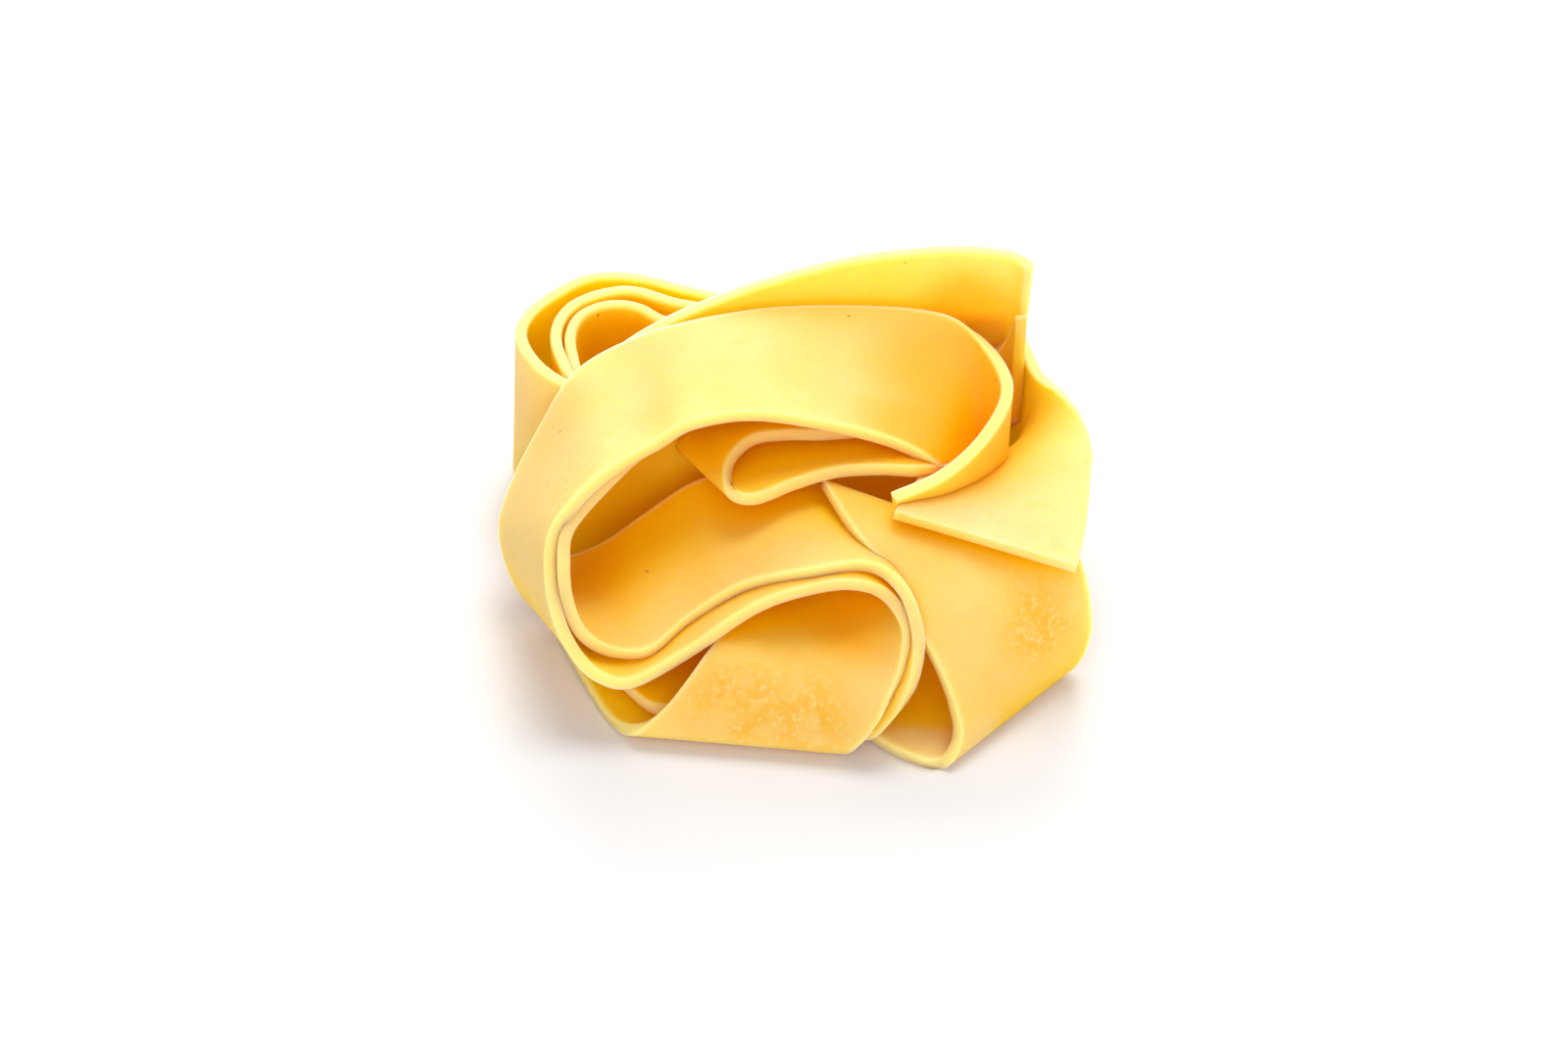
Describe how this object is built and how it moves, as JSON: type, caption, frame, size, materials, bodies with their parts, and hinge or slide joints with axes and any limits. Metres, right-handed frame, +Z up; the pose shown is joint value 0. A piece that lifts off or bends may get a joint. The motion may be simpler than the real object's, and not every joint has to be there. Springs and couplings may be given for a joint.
{
  "type": "dry pasta nest",
  "caption": "Nest of wide, flat dried egg-pasta ribbons, folded over each other in loops and arches and stuck together as one piece.",
  "frame": {"origin": "on the surface that the nest stands on, under the middle of its bounding box", "axes": "+Z up; +X to the right and -Y towards the viewer when the arch is seen from the front"},
  "size_m": [0.07, 0.0648, 0.0348],
  "materials": {
    "egg_pasta": null
  },
  "bodies": {
    "root": {"pasta_nest": "egg_pasta"}
  },
  "joints": []
}
